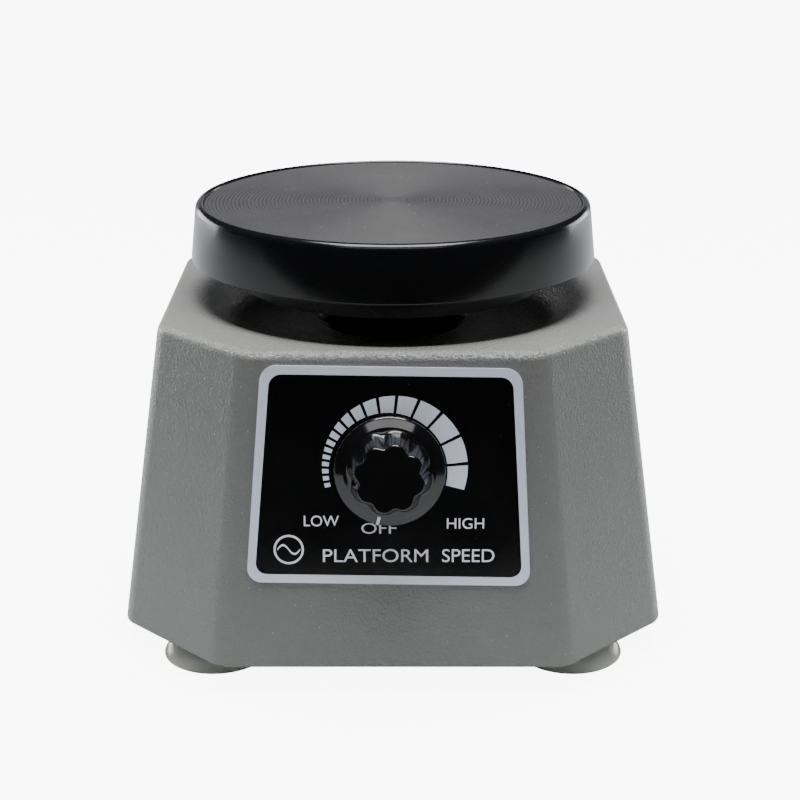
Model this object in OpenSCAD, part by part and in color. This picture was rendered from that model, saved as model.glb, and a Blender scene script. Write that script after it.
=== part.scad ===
// Small bench vibrator: a cast eight-sided body on four suction feet, with a round rubber-covered
// platform that an electromagnet shakes up and down. The origin lies on the bench under the body's
// axis, +Z is up and the control panel faces -Y.

/* [Body] */
// Distance across the flats at the lower edge of the body
body_flats_low = 136.2; // [130:0.1:145]
// Distance across the flats at the deck
body_flats_deck = 115.6; // [112:0.1:122]
// Width of a main face at the lower edge
face_low = 83.6; // [78:0.1:90]
// Width of a main face at the deck
face_deck = 69.6; // [66:0.1:74]
// Height of the body's lower edge above the bench
body_z = 7.4; // [6.5:0.1:8]
// Height of the deck above the bench
deck_z = 83.4; // [82:0.1:84]
// Thickness of the casting
wall = 4; // [3.8:0.1:4.2]
// Radius of the rounding round the deck
deck_round = 3; // [2.5:0.1:3.4]
// Radius of the body's upright edges
edge_round = 8; // [6:0.1:9]

/* [Dish] */
// Radius of the dish where it meets the deck
dish_r = 50.3; // [49:0.1:51]
// Depth of the dish
dish_depth = 8; // [7:0.1:8.5]
// Radius of the opening in the middle of the dish
dish_opening_r = 17; // [16:0.1:20]

/* [Platform] */
// Radius of the rubber cap at its upper rim
cap_r = 51; // [50.5:0.1:52]
// Radius of the rubber cap at its lower edge
cap_low_r = 52.3; // [52:0.1:53]
// Height of the rubber cap's rim above the bench
cap_z = 107.4; // [107:0.1:108]
// Height of the rubber cap's skirt
cap_h = 14.3; // [13.5:0.1:14.6]
// Radius of the lower tier of the metal disc
tier_r = 39.5; // [36:0.1:42]
// Height of the underside of the lower tier above the bench
tier_z = 86.4; // [85.5:0.1:87]

/* [Knob and panel] */
// Sideways place of the knob's axis
knob_x = -0.6; // [-2:0.1:2]
// Distance of the knob's axis up the sloping face from its lower edge
knob_up = 48.9; // [47:0.1:51]
// Radius of the knob's skirt
knob_skirt_r = 13.2; // [12:0.1:13.5]
// Height of the knob's top above the body's face
knob_h = 10.9; // [10.5:0.1:12]
// Number of finger flutes round the grip
knob_flutes = 8; // [6:1:12]
// Angle of the pointer, clockwise from the top
pointer_turn = 193; // [185:1:200]
// Width of the panel plate at its top
panel_top_w = 61; // [58:0.1:63]
// Width of the panel plate at its bottom
panel_low_w = 67.7; // [64:0.1:70]
// Height of the panel plate
panel_h = 52.5; // [50:0.1:54]
// Thickness of the panel plate
panel_t = 0.5; // [0.3:0.1:0.8]

/* [Feet] */
// Distance of each foot from the body's axis, along X and along Y
foot_at = 44.6; // [42:0.1:46]
// Radius of a suction foot's rim
foot_r = 13.3; // [11:0.1:14]

/* [Magnet] */
// Width of the laminated core
core_w = 54; // [52:0.5:56]
// Height of the laminated core
core_h = 36; // [35:0.5:36]
// Thickness of the lamination stack
core_t = 20; // [16:0.5:22]
// Gap between the core and the armature at rest
air_gap = 1.4; // [1.3:0.1:1.6]

/* [Springs] */
// Length of a leaf spring
leaf_l = 104; // [100:1:105]
// Width of a leaf spring
leaf_w = 16; // [14:1:18]
// Thickness of a leaf spring
leaf_t = 1; // [0.8:0.1:1]

/* [Hidden] */
$fn = 64;

// Clearance between parts that slide or turn on each other, and between parts that only touch
running = 0.05;
touch = 0.02;
// Overlap of a cutting tool past the face that it opens
past = 1;

// The body's slopes
lean = atan((body_flats_low - body_flats_deck) / 2 / (deck_z - body_z));
corner_lean = atan((body_flats_low + face_low - body_flats_deck - face_deck) / 2 / sqrt(2)
    / (deck_z - body_z));
cavity_round = 1.5;
// Height of the upright lip under the body's faces, and the facets round its rounded edges
lip_h = 0.5;
edge_fn = 32;
dish_floor = deck_z - dish_depth;
dish_slope = 50;
dish_rim_round = 3;
dish_floor_round = 5;

// The base plate closes the body from below
plate_t = 1.2;
plate_z = body_z + 0.8;
plate_top = plate_z + plate_t;
boss_r = 4.5;
boss_at = 58.5;
boss_h = 15;
screw_r = 1.75;
m3_r = 1.5;
m4_r = 2;
m6_r = 3;
// Extra radius of a hole that a screw passes through freely
screw_clear = 0.1;

// The studs of the suction feet
stud_r = 2.5;
stud_z = 5.2;
stud_hole_r = 2.7;
washer_t = 1;

// Heights of the magnet and of the spring stack above it
bracket_t = 2;
core_z = plate_top + bracket_t;
leg = core_w / 6;
core_top = core_z + core_h;
armature_z = core_top + air_gap;
armature_top = armature_z + leg;
yoke_t = 4;
yoke_plate_t = 2.6;
low_leaf_z = armature_top + yoke_t;
leaf_gap = 2;
clamp_t = 1.8;
high_leaf_z = low_leaf_z + leaf_t + leaf_gap;
hub_z = high_leaf_z + leaf_t;
pillar_x = 46;
pillar_w = 12;
pillar_d = 18;
pillar_screw_y = 5;
bracket_screw_x = 33;
bracket_screw_y = 6;
rivet_r = 1.8;
coil_h = core_h - leg - 1;
coil_z = core_z + leg + 0.5;

// The rubber cap and the metal disc inside it
cap_wall = 2.6;
cap_top_t = 2.8;
cap_recess = 0.4;
cap_low_z = cap_z - cap_h;
disc_r = cap_r - cap_wall - touch;
disc_top = cap_z - cap_recess - cap_top_t;
disc_z = cap_low_z + 1.2;
hub_r = 12;
spigot_r = 9;

// The knob, along its own axis from the face of the body
knob_z = 1.1;
grip_z = 4.2;
grip_low_r = 9.9;
grip_top_r = 8.35;
flute_r = 3.4;
shaft_r = 3;
shaft_flat = 0.6;
bush_r = 4.4;
bush_hole_r = bush_r + 0.2;
grub_z = 7.4;
grub_r = 1.5;
nut_recess_z = 5.2;
pointer_angle = 90 - pointer_turn;

// The control board stands behind the magnet
board_w = 56;
board_d = 26;
board_y = 37;
board_z = 22;
board_t = 1.6;
board_top = board_z + board_t;
wire_r = 0.9;
triac_x = -12;
triac_y = board_y + 3;
triac_tab_y = 2.2;
resistor_y = board_y - 7;

// The terminal block and the earth screw stand on the base plate, in front of the magnet
terminals_y = -44;
terminals_x = -14;
terminal_gap = 6;
terminal_r = 2.4;
terminal_floor = 7;
earth_x = 20;
earth_tag_t = 0.8;

// The cord gland at the back, beside the boss of the base plate's screw
gland_x = 24;
gland_up = 18;
gland_bore_r = 3.2;
gland_thread_r = 6;
gland_in = 7;
gland_out = 6.6;

// Half the distance across the flats, and half the width of a main face, at height z
function flats_at(z) = (body_flats_low + (body_flats_deck - body_flats_low)
    * (z - body_z) / (deck_z - body_z)) / 2;
function face_at(z) = (face_low + (face_deck - face_low) * (z - body_z) / (deck_z - body_z)) / 2;
// The same two sizes, moved in from the body's faces by the distance d
function flats_in(z, d) = flats_at(z) - d / cos(lean);
function face_in(z, d) = flats_at(z) + face_at(z) - sqrt(2) * d / cos(corner_lean) - flats_in(z, d);
// The eight corners of an octagon from half its flats a and half its face b
function corners(a, b) = [
    for (turn = [0 : 90 : 270], y = [-b, b])
        [a * cos(turn) - y * sin(turn), a * sin(turn) + y * cos(turn)]
];
// Points of an arc
function arc(c, r, from, to, n = 8) = [
    for (i = [0 : n]) let (a = from + (to - from) * i / n) c + r * [cos(a), sin(a)]
];
// A trapezoid, wider at the bottom, with rounded corners
function rounded_trapezoid(top_w, low_w, h, r) =
    let (
        tilt = atan((low_w - top_w) / 2 / h),
        x_top = top_w / 2 + r * tan(tilt) - r / cos(tilt),
        x_low = top_w / 2 + (h - r) * tan(tilt) - r / cos(tilt)
    )
    concat(
        arc([x_low, r - h / 2], r, -90, tilt),
        arc([x_top, h / 2 - r], r, tilt, 90),
        arc([-x_top, h / 2 - r], r, 90, 180 - tilt),
        arc([-x_low, r - h / 2], r, 180 - tilt, 270)
    );

// Places its children on the front face: x to the right, y up the slope, z out of the body
module on_front(x, up) {
    translate([x, -body_flats_low / 2 + up * sin(lean), body_z + up * cos(lean)])
        rotate([90 - lean, 0, 0])
            children();
}

module on_back(x, up) {
    rotate([0, 0, 180])
        on_front(x, up)
            children();
}

module at_feet() {
    for (x = [-foot_at, foot_at], y = [-foot_at, foot_at])
        translate([x, y, 0])
            children();
}

module at_bosses() {
    for (turn = [0 : 90 : 270])
        rotate([0, 0, turn])
            translate([boss_at, 0, 0])
                children();
}

// A ring or disc with a round hole
module ring(outer_r, inner_r, h) {
    difference() {
        cylinder(r = outer_r, h = h);
        translate([0, 0, -past])
            cylinder(r = inner_r, h = h + 2 * past);
    }
}

// A hexagon nut, measured over its corners
module nut(corner_r, bore_r, h) {
    difference() {
        cylinder(r = corner_r, h = h, $fn = 6);
        translate([0, 0, -past])
            cylinder(r = bore_r, h = h + 2 * past);
    }
}

// A pan-head screw with its head above z = 0, a cross slot, and its shank below
module pan_screw(r, length, head_r, head_h) {
    translate([0, 0, -length])
        cylinder(r = r, h = length + past / 2);
    difference() {
        cylinder(r1 = head_r, r2 = head_r * 0.8, h = head_h);
        for (turn = [0, 90])
            rotate([0, 0, turn])
                translate([-head_r * 0.55, -0.4, head_h * 0.4])
                    cube([head_r * 1.1, 0.8, head_h]);
    }
}

// A block centred on x and y, standing on z = 0
module block(w, d, h) {
    translate([-w / 2, -d / 2, 0])
        cube([w, d, h]);
}

// A round wire swept along a path, with eight sides
module wire(path, r) {
    sides = 8;
    last = len(path) - 1;
    ring_points = [
        for (i = [0 : last])
            let (
                ahead = path[min(i + 1, last)] - path[max(i - 1, 0)],
                along = ahead / norm(ahead),
                guess = abs(along.z) < 0.8 ? [0, 0, 1] : [1, 0, 0],
                side = cross(along, guess) / norm(cross(along, guess)),
                up = cross(side, along)
            )
            for (k = [0 : sides - 1])
                path[i] + r * (cos(360 * k / sides) * side + sin(360 * k / sides) * up)
    ];
    walls = [
        for (i = [0 : last - 1], k = [0 : sides - 1])
            let (a = i * sides + k, b = i * sides + (k + 1) % sides)
            [a, b, b + sides, a + sides]
    ];
    ends = [
        [for (k = [0 : sides - 1]) sides - 1 - k],
        [for (k = [0 : sides - 1]) last * sides + k]
    ];
    polyhedron(points = ring_points, faces = concat(walls, ends), convexity = 4);
}

// A smooth path through four control points
function bezier(a, b, c, d, n = 10) = [
    for (i = [0 : n]) let (t = i / n, u = 1 - t)
        u * u * u * a + 3 * u * u * t * b + 3 * u * t * t * c + t * t * t * d
];

// ---------------------------------------------------------------- body

// One rounded corner of the deck, standing on z = 0
module deck_corner() {
    rotate_extrude($fn = edge_fn)
        polygon(concat(
            [[0, -0.1], [edge_round, -0.1]],
            arc([edge_round - deck_round, 0], deck_round, 0, 90, 6),
            [[0, deck_round]]
        ));
}

module body_outside() {
    low_z = body_z + lip_h;
    high_z = deck_z - deck_round;
    high_inset = deck_round + (edge_round - deck_round) * cos(lean);
    hull() {
        for (c = corners(flats_in(low_z, edge_round * cos(lean)), face_in(low_z, edge_round * cos(lean))))
            translate([c.x, c.y, body_z])
                cylinder(r = edge_round, h = lip_h, $fn = edge_fn);
        for (c = corners(flats_in(high_z, high_inset), face_in(high_z, high_inset)))
            translate([c.x, c.y, high_z])
                deck_corner();
    }
}

module body_inside() {
    inset = wall + cavity_round;
    top_z = deck_z - wall;
    hull() {
        for (c = corners(flats_in(body_z, inset), face_in(body_z, inset)))
            translate([c.x, c.y, body_z - past])
                cylinder(r = cavity_round, h = past, $fn = 16);
        for (c = corners(flats_in(top_z, inset), face_in(top_z, inset)))
            translate([c.x, c.y, top_z - past])
                cylinder(r = cavity_round, h = past, $fn = 16);
    }
}

module dish_cut() {
    rim_start = 10;
    rim_c = [dish_r, deck_z + 0.1 - dish_rim_round * cos(rim_start)];
    rim = arc(rim_c, dish_rim_round, 90 + rim_start, 90 + dish_slope);
    foot_up = dish_floor + dish_floor_round * (1 - cos(dish_slope));
    foot_r_out = rim[len(rim) - 1].x - (rim[len(rim) - 1].y - foot_up) / tan(dish_slope);
    foot_c = [foot_r_out - dish_floor_round * sin(dish_slope), dish_floor + dish_floor_round];
    rotate_extrude($fn = 96)
        polygon(concat(
            [[0, deck_z + past], [dish_r, deck_z + past]],
            rim,
            arc(foot_c, dish_floor_round, dish_slope - 90, -90),
            [[0, dish_floor]]
        ));
}

// The casting that is left under the dish
module dish_underside() {
    rib_r = dish_r + wall + 1.7;
    rotate_extrude($fn = 96)
        polygon([
            [0, dish_floor - wall], [44, dish_floor - wall], [rib_r, deck_z - 2.5],
            [rib_r, deck_z + past], [0, deck_z + past]
        ]);
}

module housing() {
    color("#6d706c")
    difference() {
        union() {
            difference() {
                body_outside();
                dish_cut();
                difference() {
                    body_inside();
                    dish_underside();
                }
            }
            // Bosses for the base plate's screws, and the webs that tie them to the wall
            at_bosses() {
                translate([0, 0, plate_top])
                    cylinder(r = boss_r, h = boss_h);
                translate([0, -boss_r, plate_top])
                    cube([flats_in(plate_top + boss_h, wall) - boss_at + 1, 2 * boss_r, boss_h]);
            }
        }
        at_bosses()
            translate([0, 0, plate_top - past])
                cylinder(r = screw_r + running, h = boss_h);
        translate([0, 0, dish_floor - wall - past])
            cylinder(r = dish_opening_r, h = wall + 2 * past);
        on_front(knob_x, knob_up)
            translate([0, 0, -wall - past])
                cylinder(r = bush_hole_r, h = wall + 2 * past);
        on_back(gland_x, gland_up)
            translate([0, 0, -wall - past])
                cylinder(r = gland_thread_r + screw_clear, h = wall + 2 * past);
    }
}

module at_bracket_screws() {
    for (x = [-bracket_screw_x, bracket_screw_x], y = [-bracket_screw_y, bracket_screw_y])
        translate([x, y, 0])
            children();
}

module base_plate() {
    gap = 0.3;
    slot_w = 3;
    slot_l = 18;
    color("#9a9d9f")
    difference() {
        translate([0, 0, plate_z])
            linear_extrude(plate_t)
                polygon(corners(flats_in(plate_top, wall + gap), face_in(plate_top, wall + gap)));
        at_bosses()
            translate([0, 0, plate_z - past])
                cylinder(r = screw_r + 0.4, h = plate_t + 2 * past);
        at_feet()
            translate([0, 0, plate_z - past])
                cylinder(r = stud_hole_r, h = plate_t + 2 * past);
        at_pillars()
            translate([0, 0, plate_z - past])
                cylinder(r = m4_r + 0.2, h = plate_t + 2 * past);
        at_bracket_screws()
            translate([0, 0, plate_z - past])
                cylinder(r = m3_r + running, h = plate_t + 2 * past);
        // Cooling slots beside the coil
        for (x = [-15 : 10 : 15], y = [-28, 28])
            translate([x, y, plate_z - past])
                block(slot_w, slot_l, plate_t + 2 * past);
    }
}

module base_screws() {
    color("#c4c7c9")
    at_bosses()
        translate([0, 0, plate_z])
            mirror([0, 0, 1])
                pan_screw(screw_r, plate_t + 9, 2 * screw_r, 1.6);
}

// ---------------------------------------------------------------- feet

module suction_feet() {
    stem_r = 5.2;
    color("#8d8f80", 0.8)
    at_feet()
        difference() {
            rotate_extrude()
                polygon([
                    [0, 4.5], [6, 4.2], [10.2, 2.5], [12.3, 0], [foot_r - 0.2, 0], [foot_r, 0.4],
                    [foot_r - 0.2, 1.7], [foot_r - 1.1, 3.3], [foot_r - 2.9, 4.8], [8, 5.9],
                    [stem_r, 6.4], [stem_r, plate_z], [0, plate_z]
                ]);
            translate([0, 0, stud_z])
                cylinder(r = stud_r + touch, h = plate_z);
        }
}

module foot_studs() {
    color("#c4c7c9")
    at_feet()
        translate([0, 0, stud_z])
            cylinder(r = stud_r, h = 11.4);
}

module foot_washers() {
    color("#d0d2d4")
    at_feet()
        translate([0, 0, plate_top])
            ring(2 * stud_r, stud_r + 0.15, washer_t);
}

module foot_nuts() {
    color("#c4c7c9")
    at_feet()
        translate([0, 0, plate_top + washer_t])
            nut(4.6, stud_r + touch, 4);
}

// ---------------------------------------------------------------- panel and knob

module fascia_plate() {
    panel_mid = 47.2;
    panel_x = -0.6;
    panel_tilt = -0.8;
    corner_r = 3.7;
    color("#101114")
    difference() {
        on_front(panel_x, panel_mid)
            rotate([0, 0, panel_tilt])
                translate([0, 0, touch])
                    linear_extrude(panel_t)
                        polygon(rounded_trapezoid(panel_top_w, panel_low_w, panel_h, corner_r));
        on_front(knob_x, knob_up)
            translate([0, 0, -past])
                cylinder(r = bush_hole_r, h = 3 * past);
    }
}

module pot_body() {
    can_r = 12;
    can_t = 1.25;
    bush_out = 4.3;
    color("#b9bcbe")
    on_front(knob_x, knob_up)
        difference() {
            union() {
                translate([0, 0, -wall - can_t - running])
                    cylinder(r = can_r, h = can_t);
                translate([0, 0, -wall - 2 * running])
                    cylinder(r = bush_r, h = wall + bush_out + 2 * running);
            }
            translate([0, 0, -wall - can_t - past])
                cylinder(r = shaft_r + running, h = wall + can_t + bush_out + 2 * past);
        }
}

module pot_wafer() {
    color("#7a4a26")
    on_front(knob_x, knob_up)
        translate([0, 0, -wall - 5.3]) {
            ring(11.6, 3.5, 4);
            // Solder lugs at the lower edge
            for (x = [-5, 0, 5])
                translate([x, -13, 1.2])
                    block(1.8, 5, 0.8);
        }
}

module pot_switch() {
    color("#26282b")
    on_front(knob_x, knob_up)
        translate([0, 0, -wall - 17.3]) {
            cylinder(r = 11.2, h = 12);
            // Mains tags
            for (x = [-4, 4])
                translate([x, 0, -4])
                    block(2.4, 0.8, 4.5);
        }
}

module pot_washer() {
    color("#c4c7c9")
    on_front(knob_x, knob_up)
        translate([0, 0, touch + panel_t])
            ring(6.9, bush_r + touch, 0.6);
}

module pot_nut() {
    color("#c4c7c9")
    on_front(knob_x, knob_up)
        translate([0, 0, touch + panel_t + 0.6])
            nut(6.3, bush_r + touch, 2.6);
}

module pot_shaft() {
    color("#d0d2d4")
    on_front(knob_x, knob_up)
        rotate([0, 0, pointer_angle])
            difference() {
                translate([0, 0, -wall - 5])
                    cylinder(r = shaft_r, h = wall + 5 + 9.4);
                // Flat for the grub screw
                translate([-shaft_r - past, -shaft_r - past, 5])
                    cube([past + shaft_flat, 2 * (shaft_r + past), 6]);
            }
}

module knob() {
    bore_top = 9.6;
    flute_tilt = atan((grip_low_r - grip_top_r) / (knob_h - grip_z));
    color("#0b0b0d")
    on_front(knob_x, knob_up)
        rotate([0, 0, pointer_angle])
            difference() {
                rotate_extrude()
                    polygon(concat(
                        [[0, knob_z], [knob_skirt_r - 0.3, knob_z], [knob_skirt_r, knob_z + 0.3]],
                        arc([knob_skirt_r - 0.7, knob_z + 1], 0.7, 0, 65, 5),
                        [[grip_low_r + 0.1, grip_z - 0.1], [grip_low_r, grip_z + 0.1]],
                        arc([grip_top_r - 0.6, knob_h - 0.8], 0.6, 10, 85, 5),
                        [[0, knob_h]]
                    ));
                // Flutes, leaning in with the grip
                for (i = [0 : knob_flutes - 1])
                    rotate([0, 0, (i + 0.5) * 360 / knob_flutes])
                        translate([grip_low_r - 1.3 + flute_r, 0, grip_z + 0.1])
                            rotate([0, -flute_tilt, 0])
                                cylinder(r = flute_r, h = 2 * knob_h, $fn = 48);
                // Hollow over the nut
                translate([0, 0, knob_z - past])
                    cylinder(r = 7.4, h = nut_recess_z - knob_z + past);
                cylinder(r = shaft_r + touch, h = bore_top);
                // Hole for the grub screw, opposite the pointer
                translate([0, 0, grub_z])
                    rotate([0, -90, 0])
                        cylinder(r = grub_r, h = 2 * grip_low_r);
            }
}

module knob_set_screw() {
    grub_l = 4.6;
    slot_depth = 0.7;
    color("#3a3c40")
    on_front(knob_x, knob_up)
        rotate([0, 0, pointer_angle])
            translate([-shaft_r + shaft_flat - touch, 0, grub_z])
                rotate([0, -90, 0])
                    difference() {
                        cylinder(r = grub_r - touch, h = grub_l);
                        translate([0, 0, grub_l - slot_depth])
                            block(0.6, 4, slot_depth + past);
                    }
}

// ---------------------------------------------------------------- electromagnet

module core_stack() {
    window_h = core_h - leg;
    color("#6a6e73")
    difference() {
        translate([0, 0, core_z])
            block(core_w, core_t, core_h);
        for (x = [-1.5 * leg, 1.5 * leg])
            translate([x, 0, core_z + leg])
                block(leg, core_t + 2 * past, window_h + past);
        at_core_rivets()
            cylinder(r = rivet_r, h = core_t + 2 * past, center = true);
    }
}

module at_core_rivets() {
    for (x = [-1, 1], z = [core_z + leg / 2, core_top - leg / 2])
        translate([x * (core_w - leg) / 2, 0, z])
            rotate([90, 0, 0])
                children();
}

module core_rivets() {
    head_t = 1.2;
    color("#a9acaf")
    at_core_rivets() {
        cylinder(r = rivet_r - touch, h = core_t, center = true);
        for (side = [-1, 1])
            translate([0, 0, side * (core_t + head_t) / 2])
                cylinder(r = 3, h = head_t, center = true);
    }
}

module coil_bobbin() {
    flange_t = 1;
    flange_w = core_w - 2 * leg - 0.6;
    flange_d = core_t + 2 * leg;
    color("#e6e0cf")
    translate([0, 0, coil_z])
        difference() {
            union() {
                block(flange_w, flange_d, flange_t);
                block(2 * leg + 2.4, core_t + 2.4, coil_h);
                translate([0, 0, coil_h - flange_t])
                    block(flange_w, flange_d, flange_t);
            }
            translate([0, 0, -past])
                block(2 * leg + 0.4, core_t + 0.4, coil_h + 2 * past);
        }
}

// The wound copper, a block round the bobbin with rounded corners
module coil_block(grow, h, hole) {
    w = core_w - 2 * leg - 3;
    d = core_t + 2 * leg - 3;
    r = 3;
    difference() {
        union() {
            block(w + 2 * grow - 2 * r, d + 2 * grow, h);
            block(w + 2 * grow, d + 2 * grow - 2 * r, h);
            for (x = [-1, 1], y = [-1, 1])
                translate([x * (w / 2 + grow - r), y * (d / 2 + grow - r), 0])
                    cylinder(r = r, h = h);
        }
        translate([0, 0, -past])
            children();
    }
}

module coil_winding() {
    color("#b4642c")
    translate([0, 0, coil_z + 1 + touch])
        coil_block(0, coil_h - 2 - 2 * touch)
            block(2 * leg + 2.5, core_t + 2.5, coil_h + 2 * past);
}

module coil_tape() {
    tape_h = 16;
    color("#d8b53c")
    translate([0, 0, coil_z + (coil_h - tape_h) / 2])
        coil_block(0.5, tape_h)
            coil_block(touch, tape_h + 2 * past)
                translate([0, 0, -2 * past])
                    block(1, 1, past);
}

module magnet_bracket() {
    ear_w = 78;
    tab_h = 16;
    tab_t = 1.6;
    color("#b9bcbe")
    difference() {
        union() {
            translate([0, 0, plate_top])
                block(ear_w, core_t, bracket_t);
            for (side = [-1, 1])
                translate([side * (core_w / 2 + tab_t / 2 + touch), 0, plate_top])
                    block(tab_t, core_t, bracket_t + tab_h);
        }
        at_bracket_screws()
            translate([0, 0, plate_top - past])
                cylinder(r = m3_r + 0.2, h = bracket_t + 2 * past);
    }
}

module magnet_screws() {
    color("#c4c7c9")
    at_bracket_screws()
        translate([0, 0, plate_top + bracket_t])
            pan_screw(m3_r, bracket_t + plate_t + 0.6, 2 * m3_r, 2);
}

// ---------------------------------------------------------------- spring suspension

module at_pillars() {
    for (x = [-pillar_x, pillar_x])
        translate([x, 0, 0])
            children();
}

module at_spring_screws() {
    at_pillars()
        for (y = [-pillar_screw_y, pillar_screw_y])
            translate([0, y, 0])
                children();
}

module spring_pillars() {
    color("#8f9295")
    difference() {
        at_pillars()
            translate([0, 0, plate_top])
                block(pillar_w, pillar_d, low_leaf_z - plate_top);
        at_pillars()
            translate([0, 0, plate_top - past])
                cylinder(r = m4_r + touch, h = 12);
        at_spring_screws()
            translate([0, 0, low_leaf_z - 10])
                cylinder(r = m4_r + touch, h = 10 + past);
    }
}

module pillar_screws() {
    color("#c4c7c9")
    at_pillars()
        translate([0, 0, plate_z])
            mirror([0, 0, 1])
                pan_screw(m4_r, plate_t + 10, 3.8, 1.8);
}

module leaf_springs() {
    color("#5f6770")
    for (z = [low_leaf_z, high_leaf_z])
        difference() {
            translate([0, 0, z])
                union() {
                    block(leaf_l - leaf_w, leaf_w, leaf_t);
                    for (side = [-1, 1])
                        translate([side * (leaf_l - leaf_w) / 2, 0, 0])
                            cylinder(r = leaf_w / 2, h = leaf_t);
                }
            translate([0, 0, z - past])
                cylinder(r = m6_r + screw_clear, h = leaf_t + 2 * past);
            at_spring_screws()
                translate([0, 0, z - past])
                    cylinder(r = m4_r + screw_clear, h = leaf_t + 2 * past);
        }
}

// Two blocks, each under or over a leaf's clamped end
module end_blocks(z, h) {
    difference() {
        at_pillars()
            translate([0, 0, z])
                block(pillar_w, pillar_d, h);
        at_spring_screws()
            translate([0, 0, z - past])
                cylinder(r = m4_r + screw_clear, h = h + 2 * past);
    }
}

module spring_spacers() {
    color("#b9bcbe")
    end_blocks(low_leaf_z + leaf_t, leaf_gap);
}

module spring_clamps() {
    color("#9a9d9f")
    end_blocks(high_leaf_z + leaf_t, clamp_t);
}

module spring_screws() {
    color("#c4c7c9")
    at_spring_screws()
        translate([0, 0, hub_z + clamp_t])
            pan_screw(m4_r, clamp_t + 2 * leaf_t + leaf_gap + 8, 3.4, 2.4);
}

// ---------------------------------------------------------------- platform

module platform_cover() {
    rim_round = 1.6;
    color("#121317")
    rotate_extrude($fn = 128)
        polygon(concat(
            [[0, disc_top + touch], [disc_r + touch, disc_top + touch]],
            [[disc_r + touch, disc_z - touch], [disc_r - 1.2, disc_z - 0.9]],
            [[disc_r - 0.6, cap_low_z], [cap_low_r - 0.4, cap_low_z], [cap_low_r, cap_low_z + 0.4]],
            arc([cap_r - rim_round, cap_z - rim_round], rim_round, 5, 90),
            [[cap_r - 2.1, cap_z], [cap_r - 2.3, cap_z - cap_recess], [0, cap_z - cap_recess]]
        ));
}

// Depth of the countersink for the platform's screw
disc_sink = 3.4;

module platform_disc() {
    below_dish = dish_floor - wall - 2;
    color("#1d1e21")
    difference() {
        union() {
            translate([0, 0, disc_z])
                cylinder(r = disc_r, h = disc_top - disc_z);
            translate([0, 0, tier_z])
                cylinder(r = tier_r, h = disc_z - tier_z + past);
            translate([0, 0, below_dish])
                cylinder(r = hub_r, h = tier_z - below_dish + past);
            translate([0, 0, hub_z])
                cylinder(r = spigot_r, h = tier_z - hub_z);
        }
        translate([0, 0, hub_z - past])
            cylinder(r = m6_r + touch, h = disc_top - hub_z + 2 * past);
        translate([0, 0, disc_top - disc_sink])
            cylinder(r1 = m6_r + touch, r2 = 6.4, h = disc_sink + touch);
    }
}

module platform_screw() {
    color("#c4c7c9")
    difference() {
        union() {
            translate([0, 0, armature_top + 0.6])
                cylinder(r = m6_r, h = disc_top - armature_top - 1);
            translate([0, 0, disc_top - disc_sink + 0.1])
                cylinder(r1 = m6_r, r2 = 6.2, h = disc_sink - 0.2);
        }
        translate([0, 0, disc_top - 2.4])
            cylinder(r = 2.3, h = 4, $fn = 6);
    }
}

module centre_spacer() {
    color("#b9bcbe")
    translate([0, 0, low_leaf_z + leaf_t])
        ring(spigot_r, m6_r + screw_clear, leaf_gap);
}

module at_armature_screws() {
    for (x = [-18, 18])
        translate([x, 0, 0])
            children();
}

module armature_bracket() {
    color("#9a9d9f")
    difference() {
        translate([0, 0, armature_top]) {
            block(core_w, core_t - 4, yoke_plate_t);
            cylinder(r = core_t / 2 - 2, h = yoke_t);
        }
        translate([0, 0, armature_top - past])
            cylinder(r = m6_r + touch, h = yoke_t + 2 * past);
        at_armature_screws()
            translate([0, 0, armature_top - past])
                cylinder(r = m4_r + touch, h = yoke_t + 2 * past);
    }
}

module armature() {
    color("#6a6e73")
    difference() {
        translate([0, 0, armature_z])
            block(core_w, core_t, leg);
        at_armature_screws() {
            translate([0, 0, armature_z - past])
                cylinder(r = m4_r + screw_clear, h = leg + 2 * past);
            translate([0, 0, armature_z - touch])
                cylinder(r1 = 2 * m4_r + screw_clear, r2 = m4_r + screw_clear, h = 2.2);
        }
    }
}

module armature_screws() {
    color("#c4c7c9")
    at_armature_screws() {
        translate([0, 0, armature_z + 0.1])
            cylinder(r1 = 3.9, r2 = m4_r, h = 2);
        translate([0, 0, armature_z + 0.5])
            cylinder(r = m4_r, h = leg + yoke_plate_t - 0.5);
    }
}

// A soft collar that closes the dish's opening round the hub
module dust_seal() {
    lip_r = hub_r + 0.4;
    color("#1c1c1e")
    rotate_extrude()
        polygon([
            [dish_opening_r - touch, dish_floor - wall - 1.2],
            [dish_opening_r - touch, dish_floor + touch], [dish_opening_r + 2.5, dish_floor + touch],
            [dish_opening_r + 2.5, dish_floor + 1.2], [dish_opening_r - 1, dish_floor + 2.6],
            [lip_r, dish_floor + 3.2], [lip_r, dish_floor + 2.2], [dish_opening_r - 2, dish_floor],
            [dish_opening_r - 2, dish_floor - wall - 1.2]
        ]);
}

// ---------------------------------------------------------------- electrics

module at_board_corners() {
    for (x = [-1, 1], y = [-1, 1])
        translate([x * (board_w / 2 - 4), board_y + y * (board_d / 2 - 4), 0])
            children();
}

module control_board() {
    color("#2f6b45")
    difference() {
        translate([0, board_y, board_z])
            block(board_w, board_d, board_t);
        at_board_corners()
            translate([0, 0, board_z - past])
                cylinder(r = m3_r + screw_clear, h = board_t + 2 * past);
    }
}

module board_standoffs() {
    color("#e8e6df")
    at_board_corners()
        translate([0, 0, plate_top])
            difference() {
                cylinder(r = 3.2, h = board_z - plate_top);
                translate([0, 0, board_z - plate_top - 7])
                    cylinder(r = m3_r + touch, h = 7 + past);
            }
}

module board_screws() {
    color("#c4c7c9")
    at_board_corners()
        translate([0, 0, board_top])
            pan_screw(m3_r, board_t + 6, 2.8, 1.8);
}

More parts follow.
